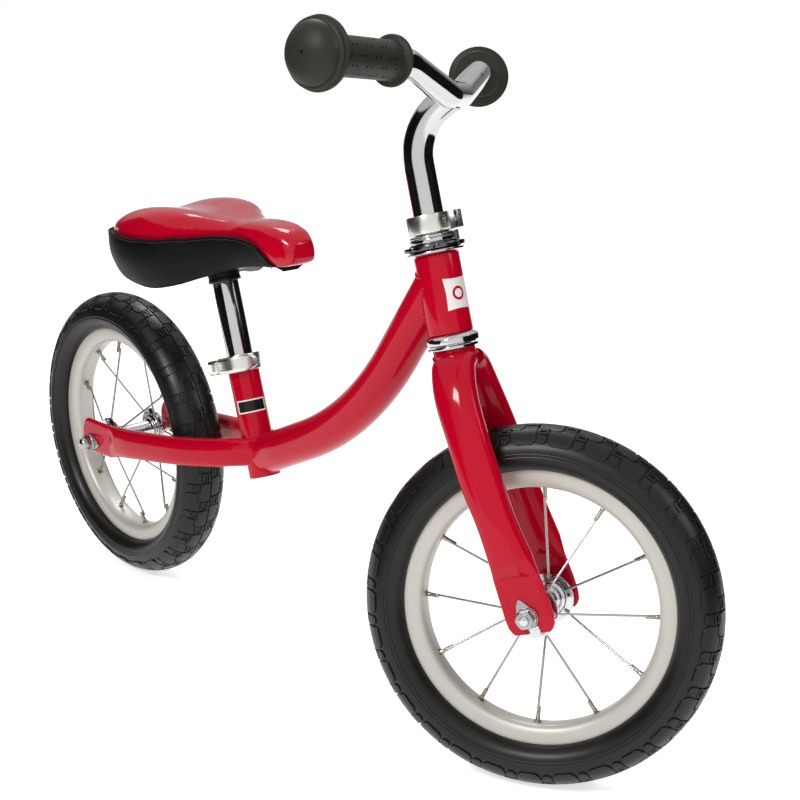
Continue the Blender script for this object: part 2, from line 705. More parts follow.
    def wires(self) -> None:
        """All the spokes, their nipples and the tape behind the nipples."""
        tape = lathe([(self.rim_bed + 0.0022, 0.006), (self.rim_bed + 0.0034, 0.006),
                      (self.rim_bed + 0.0034, -0.006), (self.rim_bed + 0.0022, -0.006)], 96, True)
        self.add("rim_tape", tape, BLACK_PLASTIC)
        self.add("spoke_wires", merged(self.spoke(i) for i in range(self.spokes)), STEEL,
                 ["spokes"])
        tall = softened([(0.0, -0.0124), (0.0013, -0.0124), (0.0017, -0.0114), (0.0017, -0.0040),
                         (0.0020, -0.0034), (0.0020, 0.0010), (0.0, 0.0010)], 0.0003, False)
        made = []
        for index, angle in enumerate(self.angles()):
            out = self.radial(angle).to_3x3() @ Vector((0, 0, 1))
            sign = 1 if index % 2 else -1
            foot = out * self.hole_circle + Vector((0, sign * self.flange_y, 0))
            tip = out * self.rim_bed
            turn = Vector((0, 0, 1)).rotation_difference((tip - foot).normalized())
            made.append(placed(lathe(tall, 14, closed=False),
                               Matrix.Translation(tip) @ turn.to_matrix().to_4x4()))
        self.add("spoke_nipples", merged(made), NIPPLE_BRASS)

    def hub(self) -> None:
        """A turned hub: barrel, two drilled flanges with raised rings, and bearing cups."""
        inner, outer = self.flange_y - 0.0012, self.flange_y + 0.0012
        half = [(0.0104, 0.0330), (0.0125, 0.0330), (0.0125, outer + 0.0022),
                (0.0140, outer + 0.0014), (0.0140, outer), (0.0208, outer), (0.0208, inner),
                (0.0150, inner), (0.0144, inner - 0.0018), (0.0118, inner - 0.0026),
                (0.0112, inner - 0.0050), (0.0085, inner - 0.0066), (0.0080, 0.0)]
        half = softened(half, 0.0005, closed=False)[:-1]
        bore = [(0.0060, 0.0), (0.0060, 0.0262), (0.0104, 0.0268)]
        profile = (half + [(r, -y) for r, y in reversed(half)]
                   + [(r, -y) for r, y in reversed(bore)] + bore[1:])
        body = lathe(profile, 72, along_y=True)
        holes = []
        for index, angle in enumerate(self.angles()):
            for turn in (0.0, math.pi / self.spokes):
                sign = 1 if (index % 2) == (turn == 0.0) else -1
                if turn and index % 2:
                    continue
                drill = lathe([(0.0, -0.004), (0.0014, -0.004), (0.0014, 0.004), (0.0, 0.004)], 14,
                              True, closed=False)
                at = Matrix.Translation((0, sign * self.flange_y, 0)) @ self.radial(angle + turn)
                holes.append(placed(drill, at @ Matrix.Translation((0, 0, self.hole_circle))))
        self.add("hub_shell", carved(body, merged(holes)), CHROME, ["hub"])

    def build(self) -> None:
        """Builds the whole wheel."""
        self.tyre()
        self.air_tube()
        self.rim()
        self.wires()
        self.hub()


@dataclass
class AxleEnds:
    """Washers and nuts on both ends of an axle, and the axle itself."""

    prefix: str
    place: Matrix
    body: str
    spacing: float
    nut_length: float
    style: NutStyle
    tab_angle: float
    washer: float = 0.0090
    thick: float = 0.0013
    nut: float = 0.0078
    rod: float = 0.0039

    def washer_mesh(self, low: float) -> bmesh.types.BMesh:
        """A round washer whose pointed tab hooks into the frame."""
        outline = []
        for k in range(60):
            a = 2 * math.pi * k / 60
            off = abs(math.remainder(a - self.tab_angle, 2 * math.pi))
            lift = max(0.0, 1 - off / 0.75)
            outline.append((self.washer * (1 + 0.85 * lift ** 1.6) * math.cos(a),
                            self.washer * (1 + 0.85 * lift ** 1.6) * math.sin(a)))
        return slab(outline, low, low + self.thick, 0.0003)

    def nut_mesh(self, low: float) -> bmesh.types.BMesh:
        """A hexagon on a thin flange, open or closed by a dome."""
        waist = low + (0.0066 if self.style is NutStyle.ACORN else self.nut_length)
        hexagon = [(self.nut * math.cos(k * math.pi / 3), self.nut * math.sin(k * math.pi / 3))
                   for k in range(6)]
        chamfer = lathe([(0.0, low), (self.nut * 1.02, low), (self.nut * 1.02, waist - 0.0012),
                         (self.nut * 0.84, waist), (0.0, waist)], 48, closed=False)
        body = carved(slab(hexagon, low, waist, 0.0), chamfer, operation="INTERSECT")
        flange = lathe(softened([(0.0045, low), (self.nut * 1.12, low),
                                 (self.nut * 1.04, low + 0.0016), (0.0045, low + 0.0016)], 0.0004),
                       48)
        parts = [body, flange]
        if self.style is NutStyle.ACORN:
            high = low + self.nut_length
            dome = [(self.nut * 0.80, waist - 0.0005)]
            dome += [(self.nut * 0.78 * math.cos(a), waist + (high - waist) * math.sin(a))
                     for a in np.linspace(0, math.pi / 2, 10)]
            parts.append(lathe(dome, 40, closed=False))
        else:
            ring_top = softened([(0.0040, waist - 0.001), (0.0058, waist - 0.001),
                                 (0.0056, waist + 0.0006), (0.0040, waist + 0.0006)], 0.0004)
            parts.append(lathe(ring_top, 40))
        return merged(parts)

    def build(self) -> None:
        """Builds both ends and the axle."""
        plate = self.spacing / 2 + END_PLATE
        low = plate + GAP
        nut_low = low + self.thick + GAP
        for side in Side:
            turn = Matrix.Rotation(math.pi / 2, 4, "X")
            if side is Side.LEFT:
                turn = Matrix.Scale(-1, 4, (0, 1, 0)) @ turn
            word = side.name.lower()
            for part, mesh, finish in (("washer", self.washer_mesh(low), STEEL),
                                       ("nut", self.nut_mesh(nut_low), STEEL)):
                made = placed(mesh, self.place @ turn)
                bmesh.ops.recalc_face_normals(made, faces=made.faces)
                piece(f"{self.prefix}_{word}_{part}_piece", made, finish, self.body,
                      [f"{self.prefix}_{word}_{part}"])
        end = nut_low + self.nut_length + (-0.003 if self.style is NutStyle.ACORN else 0.0020)
        bare = [(0.0, -end), (self.rod, -end), (self.rod, end), (0.0, end)]
        rod = lathe(softened(bare, 0.0008, False), 32, True, closed=False)
        piece(f"{self.prefix}_axle_rod", placed(rod, self.place), CHROME, self.body,
              [f"{self.prefix}_axle"])


# ---------------------------------------------------------------- frame

@dataclass
class Frame:
    """Main tube, seat tube, chainstays and head tube with its cups."""

    axes: Axes
    main_radius: float = 0.0188
    main_foot: float = 0.0371
    main_corner: float = 0.486
    main_sag: float = 0.0441
    main_bend: float = 0.34
    main_top: float = 0.0448
    seat_bottom: float = 0.0175
    seat_top: float = 0.1340
    rear_spacing: float = 0.090
    seat_core: float = 0.0142
    head_core: float = 0.0178
    cup: float = 0.0222
    upper_cup: float = 0.0236
    stays: tuple[tuple[float, ...], ...] = (
        (0.995, 0.0058, 0.0430, 0.0140, 0.0066), (0.955, 0.0100, 0.0420, 0.0140, 0.0078),
        (0.915, 0.0170, 0.0405, 0.0140, 0.0080), (0.870, 0.0238, 0.0388, 0.0140, 0.0080),
        (0.800, 0.0300, 0.0350, 0.0140, 0.0080),
        (0.610, 0.0415, 0.0275, 0.0140, 0.0080), (0.340, 0.0472, 0.0175, 0.0145, 0.0078),
        (0.210, 0.0472, 0.0125, 0.0155, 0.0072))
    ends: tuple[tuple[float, ...], ...] = (
        (0.0375, 0.0087, 0.0168), (0.0340, 0.0085, 0.0170), (0.0040, 0.0075, 0.0172),
        (-0.0060, 0.0075, 0.0168), (-0.0105, 0.0072, 0.0152), (-0.0135, 0.0065, 0.0128),
        (-0.0152, 0.0060, 0.0090))

    def main_path(self) -> list[Vector]:
        """Corners of the main tube's axis, from the seat tube to the head tube."""
        start = self.axes.seat @ Vector((0, 0, self.main_foot))
        end = self.axes.head @ Vector((0, 0, HEAD_LOW + self.main_top))
        line = end - start
        down = Vector((line.z, 0, -line.x)).normalized()
        corner = start + line * self.main_corner + down * self.main_sag
        return [start + (corner - start).normalized() * 0.004, corner,
                end - (end - corner).normalized() * 0.004]

    def main_tube(self) -> None:
        """The bent main tube, squeezed to the seat tube's width at its rear end."""
        path = bent_path(self.main_path(), [self.main_bend], 40)
        extra = [path[0].lerp(path[1], k / 12) for k in range(1, 12)]
        path = path[:1] + extra + path[1:]
        bm = bmesh.new()
        loops = []
        for point, across, up in path_frames(path, Vector((0, 1, 0))):
            travel = (point - path[0]).length
            ease = max(0.0, 1 - travel / 0.045) ** 1.5
            wide = self.main_radius * (1 - 0.215 * ease)
            loops.append(ring(bm, point, across * self.main_radius, up * wide, 56))
        bridged(bm, loops)
        bm = carved(bm, self.coping(self.axes.seat, self.seat_core),
                    self.coping(self.axes.head, self.head_core, 0.2))
        piece("main_tube_shell", bm, RED_PAINT, "frame", ["main_tube"])

    def coping(self, base: Matrix, radius: float, low: float = 0.0) -> bmesh.types.BMesh:
        """The core that a tube's end is cut back to, along the Z axis of the tube it meets."""
        core = lathe([(0.0, low), (radius, low), (radius, low + 0.15), (0.0, low + 0.15)], 64,
                     closed=False)
        return placed(core, base)

    def weld(self, base: Matrix, radius: float, point: Vector, ahead: Vector, thick: float,
             bead: float, squeeze: float = 1.0) -> bmesh.types.BMesh:
        """A rippled bead where a tube meets a round tube.

        Args:
            base: Frame of the round tube that is met; its axis is Z.
            radius: Radius of that tube.
            point: A point on the arriving tube's axis.
            ahead: Direction of the arriving tube, towards the joint.
            thick: Radius of the arriving tube.
            bead: Thickness of the bead.
            squeeze: Width of the arriving tube over its height.

        Returns:
            The bead as one mesh.
        """
        back = base.inverted()
        start, run = back @ point, (back.to_3x3() @ ahead).normalized()
        across = (back.to_3x3() @ Vector((0, 1, 0))).normalized()
        up = across.cross(run)
        spots = []
        count = 72
        for k in range(count):
            a = 2 * math.pi * k / count
            p = start + across * (thick * squeeze * math.cos(a)) + up * (thick * math.sin(a))
            flat, way = Vector((p.x, p.y)), Vector((run.x, run.y))
            b, c = flat.dot(way), flat.length_squared - radius ** 2
            inside = b * b - way.length_squared * c
            if inside < 0:
                continue
            spots.append(base @ (p + run * ((-b - math.sqrt(inside)) / way.length_squared)))
        parts = []
        for k, spot in enumerate(spots):
            blob = bmesh.new()
            bmesh.ops.create_uvsphere(blob, u_segments=10, v_segments=6,
                                      radius=bead * (1.0 + 0.10 * math.sin(k * 2.4)))
            parts.append(placed(blob, Matrix.Translation(spot)))
        return merged(parts)

    def welds(self) -> None:
        """The beads at both ends of the main tube."""
        corners = self.main_path()
        ahead = (corners[2] - corners[1]).normalized()
        front = self.weld(self.axes.head, HEAD_RADIUS, corners[1], ahead, self.main_radius, 0.0016)
        behind = (corners[0] - corners[1]).normalized()
        rear = self.weld(self.axes.seat, SEAT_TUBE_RADIUS, corners[1], behind,
                         self.main_radius - 0.0006, 0.0014, 0.80)
        piece("frame_welds", merged([front, rear]), RED_PAINT, "frame")

    def seat_tube(self) -> None:
        """The open seat tube, slit at the back of its top."""
        profile = softened([(0.0148, self.seat_bottom), (0.0148, self.seat_top),
                            (0.0128, self.seat_top), (0.0128, self.seat_bottom)], 0.0005)
        slit = block((-0.02, -0.0010, self.seat_top - 0.022),
                     (-0.006, 0.0010, self.seat_top + 0.01))
        bm = carved(lathe(profile, 96), slit)
        piece("seat_tube_shell", placed(bm, self.axes.seat), RED_PAINT, "frame", ["seat_tube"])

    def chainstay(self, side: Side) -> None:
        """An oval stay that curves out past the tyre and ends pressed flat at the axle."""
        sign = side.value
        out = self.rear_spacing / 2 + END_PLATE / 2
        rows = smooth_rows(self.stays, 8)
        centres = [Vector((SEAT_FOOT_X * a, sign * y, TYRE_RADIUS + z)) for a, y, z, _, _ in rows]
        bm = bmesh.new()
        loops = []
        for (centre, across, up), row in zip(path_frames(centres, Vector((0, 0, 1))), rows):
            loops.append(ring(bm, centre, across * row[4], up * row[3], 48, 2.5))
        last = across.y / abs(across.y)
        middle = Vector((0, sign * out, TYRE_RADIUS))
        for x, z, tall in self.ends:
            loops.append(ring(bm, middle + Vector((x, 0, z)), Vector((0, last * END_PLATE / 2, 0)),
                              Vector((0, 0, tall)) * (1 if up.z > 0 else -1), 48, 3.6))
        bridged(bm, loops)
        bm = carved(bm, self.coping(self.axes.seat, self.seat_core))
        name = f"{side.name.lower()}_chainstay"
        piece(name + "_shell", bm, RED_PAINT, "frame", [name])

    def head_tube(self) -> None:
        """The head tube with softly rolled ends."""
        low, high = HEAD_LOW, HEAD_HIGH
        profile = softened([(0.0170, low), (HEAD_RADIUS, low), (HEAD_RADIUS, high), (0.0170, high)],
                           0.0006)
        piece("head_tube_shell", placed(lathe(profile, 96), self.axes.head), RED_PAINT, "frame",
              ["head_tube"])

    def cups(self) -> None:
        """The pressed cups above and below the head tube."""
        low, high = HEAD_LOW - GAP, HEAD_HIGH + GAP
        lower = [(0.0150, low + 0.006), (0.0166, low + 0.006), (0.0166, low), (0.0184, low),
                 (0.0206, low - 0.0016), (self.cup, low - 0.0034), (self.cup, low - 0.0076),
                 (self.cup - 0.0018, low - 0.0078), (self.cup - 0.0022, low - 0.0040),
                 (0.0150, low - 0.0036)]
        upper = [(0.0150, high - 0.006), (0.0166, high - 0.006), (0.0166, high), (0.0190, high),
                 (self.upper_cup, high + 0.0016), (self.upper_cup, high + 0.0032),
                 (self.upper_cup - 0.0022, high + 0.0032), (self.upper_cup - 0.0034, high + 0.0014),
                 (0.0150, high + 0.0012)]
        for name, profile in (("headset_lower_cup", lower), ("headset_upper_cup", upper)):
            bm = lathe(softened(profile, 0.0005), 96)
            piece(name + "_pressing", placed(bm, self.axes.head), CHROME, "frame", [name])

    def build(self) -> None:
        """Builds every tube of the frame."""
        self.main_tube()
        self.welds()
        self.seat_tube()
        for side in Side:
            self.chainstay(side)
        self.head_tube()
        self.cups()


# ---------------------------------------------------------------- fork and steering

@dataclass
class Fork:
    """Crown, legs, steering rings and the collar that holds the bar."""

    axes: Axes
    spacing: float = 0.080
    neck: float = 0.0174
    slot: float = 0.0096
    vent_x: float = 0.0302
    vent_z: float = 0.0377
    collar_radius: float = 0.0190
    ear_reach: float = 0.0310
    ear_half: float = 0.0078
    collar_turn: float = math.radians(-30.0)
    legs: tuple[tuple[float, ...], ...] = (
        (1.000, 0.0030, 0.0100, 0.0176, 0.0095), (0.967, 0.0030, 0.0220, 0.0178, 0.0110),
        (0.860, 0.0050, 0.0335, 0.0175, 0.0118), (0.706, 0.0105, 0.0410, 0.0168, 0.0120),
        (0.545, 0.0155, 0.0440, 0.0170, 0.0120), (0.380, 0.0220, 0.0455, 0.0160, 0.0118),
        (0.215, 0.0280, 0.0445, 0.0180, 0.0105))
    ends: tuple[tuple[float, ...], ...] = (
        (0.0325, 0.0287, 0.0190), (0.0285, 0.0293, 0.0192), (0.0120, 0.0318, 0.0198),
        (0.0000, 0.0332, 0.0199), (-0.0070, 0.0338, 0.0190), (-0.0110, 0.0338, 0.0168),
        (-0.0130, 0.0336, 0.0146))

    def leg(self, side: Side) -> None:
        """One leg, from the crown out past the tyre to its flattened, slotted end."""
        sign = side.value
        out = self.spacing / 2 + END_PLATE / 2
        length = CROWN_TOP - 0.0102
        rows = smooth_rows(self.legs, 9)
        centres = [Vector((t, sign * y, share * length)) for share, t, y, _, _ in rows]
        bm = bmesh.new()
        loops = []
        for (centre, across, fore), row in zip(path_frames(centres, Vector((1, 0, 0))), rows):
            loops.append(ring(bm, centre, across * row[4], fore * row[3], 48, 2.4))
        flat = Vector((0, math.copysign(END_PLATE / 2, across.y), 0))
        for s, t, deep in self.ends:
            loops.append(ring(bm, Vector((t, sign * out, s)), flat,
                              Vector((math.copysign(deep, fore.x), 0, 0)), 48, 5.0))
        bridged(bm, loops)
        middle = Matrix.Translation((FORK_OFFSET, sign * out, 0))
        seat = lathe([(0.0, -0.02), (self.slot / 2, -0.02), (self.slot / 2, 0.02), (0.0, 0.02)],
                     32, True, closed=False)
        throat = block((-self.slot / 2, -0.02, -0.03), (self.slot / 2, 0.02, 0.0))
        turn = Matrix.Rotation(math.radians(-17.0), 4, "Y")
        cut = carved(placed(seat, middle), placed(throat, middle @ turn), operation="UNION")
        vent = lathe([(0.0, -0.0085), (0.0020, -0.0085), (0.0020, 0.0085), (0.0, 0.0085)], 24, True,
                     closed=False)
        inside = Matrix.Translation((self.vent_x, sign * (out - 0.0100), self.vent_z))
        bm = carved(bm, cut, placed(vent, inside))
        name = f"{side.name.lower()}_fork_leg"
        piece(name + "_shell", placed(bm, self.axes.steer), RED_PAINT, "fork", [name])

    def crown(self) -> None:
        """The crown's neck and the weld beads that hold the legs."""
        low = CROWN_TOP - 0.0185
        profile = softened([(0.0130, low), (self.neck, low), (self.neck, CROWN_TOP),
                            (0.0130, CROWN_TOP)], 0.0006)
        parts = [lathe(profile, 80)]
        for k in range(60):
            a = 2 * math.pi * k / 60
            dip = 0.0030 * abs(math.sin(a)) + 0.0052
            blob = bmesh.new()
            bmesh.ops.create_uvsphere(blob, u_segments=10, v_segments=6,
                                      radius=0.0014 + 0.0002 * math.sin(k * 2.4))
            at = ((self.neck + 0.0002) * math.cos(a), (self.neck + 0.0002) * math.sin(a),
                  CROWN_TOP - dip)
            parts.append(placed(blob, Matrix.Translation(at)))
        piece("fork_crown_neck", placed(merged(parts), self.axes.steer), RED_PAINT, "fork",
              ["fork_crown"])

    def notched(self, radius: float, low: float, high: float, notches: int) -> bmesh.types.BMesh:
        """A flat ring with a row of notches round its edge for a spanner."""
        outline = []
        for k in range(notches * 12):
            a = 2 * math.pi * k / (notches * 12)
            deep = 0.0012 if k % 12 in (5, 6) else 0.0
            outline.append(((radius - deep) * math.cos(a), (radius - deep) * math.sin(a)))
        return slab(outline, low, high, 0.0005)

    def rings(self) -> None:
        """Crown race, adjusting race, tabbed washer and locknut."""
        base, high = CROWN_TOP, HEAD_HIGH
        race = lathe(softened([(0.0146, base + 0.0003), (0.0146, base + 0.0025),
                               (0.0208, base + 0.0025), (0.0208, base + 0.0003)], 0.0005), 80)
        piece("crown_race_ring", placed(race, self.axes.steer), CHROME, "fork", ["crown_race"])
        skirt = lathe(softened([(0.0150, high + 0.0062), (0.0236, high + 0.0062),
                                (0.0205, high + 0.0038), (0.0195, high + 0.0038)], 0.0004), 80)
        adjuster = merged([self.notched(0.0250, high + 0.0050, high + 0.0086, 8), skirt])
        piece("adjusting_race_ring", placed(adjuster, self.axes.steer), DARK_CHROME, "fork",
              ["adjusting_race"])
        washer = lathe(softened([(0.0146, high + 0.0088), (0.0146, high + 0.0103),
                                 (0.0203, high + 0.0103), (0.0203, high + 0.0088)], 0.0003), 80)
        tab = block((0.0194, -0.0030, high + 0.0090), (0.0212, 0.0030, high + 0.0170))
        piece("lock_washer_ring", placed(merged([washer, tab]), self.axes.steer), DARK_CHROME,
              "fork", ["lock_washer"])
        nut = [(0.0146, high + 0.0106), (0.0146, high + 0.0169), (0.0178, high + 0.0169),
               (0.0192, high + 0.0158), (0.0192, high + 0.0146), (0.0186, high + 0.0140),
               (0.0192, high + 0.0134), (0.0192, high + 0.0106)]
        piece("locknut_ring", placed(lathe(softened(nut, 0.0003), 80), self.axes.steer), CHROME,
              "fork", ["locknut"])

    def collar(self) -> None:
        """The split collar with its two ears and the socket bolt through them."""
        place = self.axes.steer @ Matrix.Rotation(self.collar_turn, 4, "Z")
        bm = clamp(self.collar_radius, STEERER_RADIUS + GAP, self.ear_reach, self.ear_half,
                   0.0030, COLLAR_LOW, COLLAR_HIGH)
        middle = Matrix.Translation((self.ear_reach - 0.0055, 0, (COLLAR_LOW + COLLAR_HIGH) / 2))
        sink = lathe([(0.0, -0.0100), (0.0043, -0.0100), (0.0043, -0.0046), (0.0, -0.0046)], 32,
                     True, closed=False)
        bm = carved(bm, placed(sink, middle))
        piece("bar_collar_clamp", placed(bm, place), POLISHED, "fork", ["bar_collar"])
        bolt = lathe(softened([(0.0, -0.0058), (0.0024, -0.0058), (0.0024, -0.0075),
                               (0.0039, -0.0075), (0.0039, -0.0049), (0.0024, -0.0049),
                               (0.0024, 0.0076), (0.0, 0.0076)], 0.0003, False), 32, True, False)
        piece("bar_collar_socket_bolt", placed(bolt, place @ middle), STEEL, "fork",
              ["bar_collar_bolt"])

    def build(self) -> None:
        """Builds the fork and what turns with it."""
        for side in Side:
            self.leg(side)
        self.crown()
        self.rings()
        self.collar()


def clamp(radius: float, bore: float, reach: float, half: float, slit: float, low: float,
          high: float, front: int = 1) -> bmesh.types.BMesh:
    """A split clamp ring.

    Args:
        radius: Outside radius of the ring.
        bore: Radius of its bore.
        reach: How far its ears reach from the axis.
        half: Half the width over both ears.
        slit: Width of the slit between the ears.
        low: Lower face.
        high: Upper face.
        front: +1 for ears along X, -1 for ears along -X.

    Returns:
        The clamp, centred on Z.
    """
    body = lathe(softened([(bore, low), (bore, high), (radius, high), (radius, low)], 0.0007), 80)
    corners = [(bore + 0.001, -half), (reach, -half), (reach, half), (bore + 0.001, half)]
    ears = slab([(front * x, y) for x, y in softened(corners, 0.0022)], low + 0.0002,
                high - 0.0002, 0.0005)
    whole = carved(body, ears, operation="UNION")
    core = lathe([(0.0, low - 0.01), (bore, low - 0.01), (bore, high + 0.01), (0.0, high + 0.01)],
                 80, closed=False)
    gap = block((min(0, front * (reach + 0.005)), -slit / 2, low - 0.01),
                (max(0, front * (reach + 0.005)), slit / 2, high + 0.01))
    return carved(whole, core, gap)


# ---------------------------------------------------------------- handlebar

@dataclass
class Handlebar:
    """The bent riser, the bar across it and the two grips."""

    axes: Axes
    bend: float = math.radians(65.0)
    bend_radius: float = 0.048
    insert: float = 0.082
    straight: float = 0.0705
    reach: float = 0.0435
    bar_radius: float = 0.0111
    flat: float = 0.016
    rise: float = 0.0220
    knee_y: float = 0.0959
    knee_forward: float = -0.0034
    sweep: float = math.radians(15.7)
    lift: float = math.radians(4.0)
    grip_start: float = 0.0180
    grip_length: float = 0.109
    grip_radius: float = 0.0150

    def centre(self) -> Vector:
        """Where the riser meets the bar."""
        lean = Vector((math.sin(self.bend), 0, math.cos(self.bend)))
        return lean * self.reach + Vector((0, 0, COLLAR_HIGH + self.straight))

    def knee(self, sign: int) -> Vector:
        """Where the bar turns out into a grip."""
        middle = self.centre()
        return Vector((middle.x + self.knee_forward, sign * self.knee_y, middle.z + self.rise))

    def outward(self, sign: int) -> Vector:
        """Direction of a grip."""
        return Vector((-math.sin(self.sweep), sign * math.cos(self.sweep),
                       math.tan(self.lift))).normalized()

    def riser(self) -> None:
        """The riser and the weld under the bar."""
        lean = Vector((math.sin(self.bend), 0, math.cos(self.bend)))
        corners = [Vector((0, 0, COLLAR_HIGH - self.insert)),
                   Vector((0, 0, COLLAR_HIGH + self.straight)), self.centre() - lean * 0.0035]
        bm = pipe(bent_path(corners, [self.bend_radius], 28), RISER_RADIUS, 0.0, 56)
        piece("riser_tube", placed(bm, self.axes.steer), CHROME, "handlebar", ["riser"])

    def bar(self) -> None:
        """The bar itself, with a small vent hole in its left half."""
        middle = self.centre()
        length = self.grip_start + self.grip_length - 0.010
        ends = [self.knee(s) + self.outward(s) * length for s in (-1, 1)]
        flats = [middle + Vector((0, s * self.flat, 0)) for s in (-1, 1)]
        corners = [ends[0], self.knee(-1), flats[0], flats[1], self.knee(1), ends[1]]
        path = bent_path(corners, [0.044, 0.040, 0.040, 0.044], 14)
        bm = pipe(path, self.bar_radius, 0.0, 48, Vector((1, 0, 0.35)))
        vent = lathe([(0.0, 0.0070), (0.0016, 0.0070), (0.0016, 0.02), (0.0, 0.02)], 24,
                     closed=False)
        facing = Vector((0, 0, 1)).rotation_difference(Vector((0.93, -0.25, 0.28)).normalized())
        spot = flats[1].lerp(self.knee(1), 0.62)
        bm = carved(bm, placed(vent, Matrix.Translation(spot) @ facing.to_matrix().to_4x4()))
        piece("bar_tube", placed(bm, self.axes.steer), CHROME, "handlebar", ["handlebar"])

    def grip(self, side: Side) -> None:
        """A rubber grip: inner flange, dimpled sleeve, double bumper and domed end."""
        end = self.grip_length
        shape = [(0.0113, 0.0), (0.0188, 0.0), (0.0195, 0.0010), (0.0195, 0.0022),
                 (0.0186, 0.0034), (0.0156, 0.0042), (self.grip_radius, 0.0052)]
        sleeve_end = end - 0.0245
        rows = 44
        shape += [(self.grip_radius, 0.0052 + (sleeve_end - 0.0052) * k / rows)
                  for k in range(1, rows + 1)]
        shape += [(0.0158, end - 0.0236), (0.0240, end - 0.0226), (0.0266, end - 0.0212),
                  (0.0270, end - 0.0196), (0.0266, end - 0.0182), (0.0252, end - 0.0174),
                  (0.0246, end - 0.0168), (0.0255, end - 0.0158), (0.0256, end - 0.0146),
                  (0.0246, end - 0.0136), (0.0232, end - 0.0132)]
        shape += [(0.0232 * math.cos(a), end - 0.0132 + 0.0132 * math.sin(a))
                  for a in np.linspace(0.05, math.pi / 2 - 0.06, 12)]
        shape += [(0.0011, end - 0.0004), (0.0009, end - 0.0030), (0.0, end - 0.0030)]
        bm = lathe(shape, 60, closed=False)
        dimples = []
        for face in bm.faces:
            spot = face.calc_center_median()
            radius = math.hypot(spot.x, spot.y)
            if abs(radius - self.grip_radius) > 0.0004 or not 0.008 < spot.z < sleeve_end - 0.003:
                continue
            row = int((spot.z - 0.0052) / (sleeve_end - 0.0052) * rows)
            turn = int(math.floor(math.atan2(spot.y, spot.x) / (2 * math.pi) * 60)) % 60
            if turn % 5 == 0 and (row + 5 * (turn // 5 % 2)) % 10 in (1, 4):
                dimples.append(face)
        bmesh.ops.inset_individual(bm, faces=dimples, thickness=0.00018, depth=-0.0011)
        sign = side.value
        turn = Vector((0, 0, 1)).rotation_difference(self.outward(sign)).to_matrix().to_4x4()
        at = Matrix.Translation(self.knee(sign) + self.outward(sign) * self.grip_start) @ turn
        name = f"{side.name.lower()}_grip"
        piece(name + "_rubber", placed(bm, self.axes.steer @ at), GRIP_RUBBER, "handlebar", [name])

    def build(self) -> None:
        """Builds the riser, the bar and both grips."""
        self.riser()
        self.bar()
        for side in Side:
            self.grip(side)


# ---------------------------------------------------------------- seat

@dataclass
class SeatClamp:
    """The collar on the seat tube and its quick-release lever."""

    axes: Axes
    height: float = 0.0155
    bore: float = 0.0151
    radius: float = 0.0184
    ear_reach: float = 0.0305
    ear_half: float = 0.0078
    slit: float = 0.0030
    lever_gap: float = 0.0022
    lever_thick: float = 0.0040
    lever_height: float = 0.0140
    pivot_y: float = -0.0160
    bend_degrees: tuple[int, ...] = (236, 250, 264, 278, 292, 306, 320, 334, 348, 357, 363, 367)
    recess_turn: float = math.radians(286.0)

    def collar(self) -> None:
        """The split collar and the nut on its far side."""
        low = SEAT_COLLAR_TOP - self.height
        bm = clamp(self.radius, self.bore, self.ear_reach, self.ear_half, self.slit, low,
                   SEAT_COLLAR_TOP, -1)
        piece("seat_collar_clamp", placed(bm, self.axes.seat), POLISHED, "frame", ["seat_collar"])
        at = Matrix.Translation((0.0055 - self.ear_reach, 0, low + self.height / 2))
        nut = lathe(softened([(0.0026, 0.0081), (0.0026, 0.0140), (0.0050, 0.0140),
                              (0.0058, 0.0130), (0.0058, 0.0081)], 0.0004), 24, True)
        piece("quick_release_nut_piece", placed(nut, self.axes.seat @ at), CHROME, "frame",
              ["quick_release_nut"])

    def lever(self) -> None:
        """The lever that curls round the collar, forked at its pivot and hollowed on its face."""
        low = SEAT_COLLAR_TOP - self.height
        z = low + self.height / 2
        pivot = Vector((0.0055 - self.ear_reach, self.pivot_y))
        middle = self.radius + self.lever_gap + self.lever_thick / 2
        rows = [(pivot.x - 0.0040, pivot.y + 0.0012, 0.0046, 1.0), (pivot.x, pivot.y, 0.0048, 1.0)]
        for degrees in self.bend_degrees:
            a = math.radians(degrees)
            tip = max(0.0, (degrees - 340) / 28)
            rows.append((math.cos(a) * middle, math.sin(a) * middle, self.lever_thick / 2,
                         math.sqrt(max(0.05, 1 - tip ** 2))))
        rows = smooth_rows(rows, 5)
        centres = [Vector((x, y, z)) for x, y, _, _ in rows]
        bm = bmesh.new()
        loops = [ring(bm, c, across * row[2], up * (self.lever_height / 2 * row[3]), 32, 4.5)
                 for (c, across, up), row in zip(path_frames(centres, Vector((0, 0, 1))), rows)]
        bridged(bm, loops)
        slot = block((pivot.x - 0.012, pivot.y - 0.0085, z - 0.0036),
                     (pivot.x + 0.0085, pivot.y + 0.012, z + 0.0036))
        outline = []
        for k in range(48):
            a = 2 * math.pi * (k + 0.5) / 48
            outline.append((math.copysign(abs(math.cos(a)) ** 0.45, math.cos(a)) * 0.0125,
                            math.copysign(abs(math.sin(a)) ** 0.75, math.sin(a)) * 0.0042))
        dish = slab(outline, -0.0009, 0.0020, 0.0)
        for k in range(-11, 12):
            bmesh.ops.bisect_plane(dish, geom=dish.verts[:] + dish.edges[:] + dish.faces[:],
                                   plane_co=(k * 0.0011, 0, 0), plane_no=(1, 0, 0))
        edge = middle + self.lever_thick / 2
        for vert in dish.verts:
            a = self.recess_turn + vert.co.x / edge
            reach = edge + vert.co.z
            vert.co = (math.cos(a) * reach, math.sin(a) * reach, z + vert.co.y)
        bm = carved(bm, slot, dish)
        piece("quick_release_blade", placed(bm, self.axes.seat), POLISHED, "lever",
              ["quick_release_lever"])

    def build(self) -> None:
        """Builds the collar and the lever."""
        self.collar()
        self.lever()


